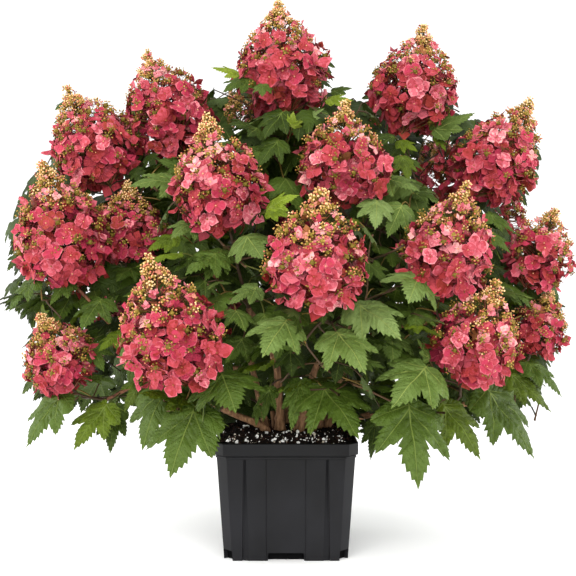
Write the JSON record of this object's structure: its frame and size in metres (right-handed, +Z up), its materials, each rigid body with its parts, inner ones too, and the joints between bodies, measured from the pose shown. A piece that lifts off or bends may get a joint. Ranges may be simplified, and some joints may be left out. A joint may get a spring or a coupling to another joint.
{
  "type": "potted hydrangea shrub",
  "caption": "Bushy many-caned garden shrub with lobed green leaves and upright cones of rose-red flowers, standing in a square dark grey plastic pot.",
  "frame": {"origin": "on the floor, under the middle of the shrub's box, which is also the pot's axis", "axes": "+Z up, front of the pot and of the shrub towards -Y, +X to the right as seen from the front"},
  "size_m": [0.977, 0.7784, 0.9601],
  "materials": {
    "pot_plastic": "semi-matte moulded dark grey plastic",
    "potting_mix": "dark moist bark mix with white perlite",
    "cane_bark": "tan-brown bark, lightly flaking",
    "bough_bark": "reddish brown young bark",
    "leaf": "matt green lobed leaves with paler veins",
    "flower": "rose-red four-lobed florets with olive-gold buds"
  },
  "bodies": {
    "root": {"bough_left": "bough_bark", "bough_mid_left": "bough_bark", "bough_mid_right": "bough_bark", "bough_rear": "bough_bark", "bough_skirt_left": "bough_bark", "bough_top": "bough_bark", "bough_upper_left": "bough_bark", "bough_upper_right": "bough_bark", "cane_centre_left": "cane_bark", "cane_centre_right": "cane_bark", "cane_left": "cane_bark", "cane_low_left": "cane_bark", "cane_low_right": "cane_bark", "cane_rear": "cane_bark", "cane_rear_left": "cane_bark", "cane_right": "cane_bark", "foliage_mid_front_left": "leaf", "foliage_mid_front_right": "leaf", "foliage_mid_left": "leaf", "foliage_mid_rear": "leaf", "foliage_mid_right": "leaf", "foliage_skirt_front": "leaf", "foliage_skirt_front_left": "leaf", "foliage_skirt_front_right": "leaf", "foliage_skirt_left": "leaf", "foliage_skirt_rear": "leaf", "foliage_skirt_rear_left": "leaf", "foliage_skirt_rear_right": "leaf", "foliage_skirt_right": "leaf", "foliage_top": "leaf", "foliage_upper_left": "leaf", "foliage_upper_right": "leaf", "head_centre_left": "flower", "head_centre_right": "flower", "head_far_left_low": "flower", "head_front": "flower", "head_left": "flower", "head_left_high": "flower", "head_left_inner": "flower", "head_low_left": "flower", "head_low_right": "flower", "head_low_right_outer": "flower", "head_rear_low_1": "flower", "head_rear_low_2": "flower", "head_rear_low_3": "flower", "head_rear_low_4": "flower", "head_rear_mid_1": "flower", "head_rear_mid_2": "flower", "head_rear_mid_3": "flower", "head_rear_top": "flower", "head_right": "flower", "head_right_back": "flower", "head_right_high": "flower", "head_right_inner": "flower", "head_right_small": "flower", "head_top": "flower", "head_top_left": "flower", "head_top_right": "flower", "pot": "pot_plastic", "potting_mix": "potting_mix"}
  },
  "joints": []
}
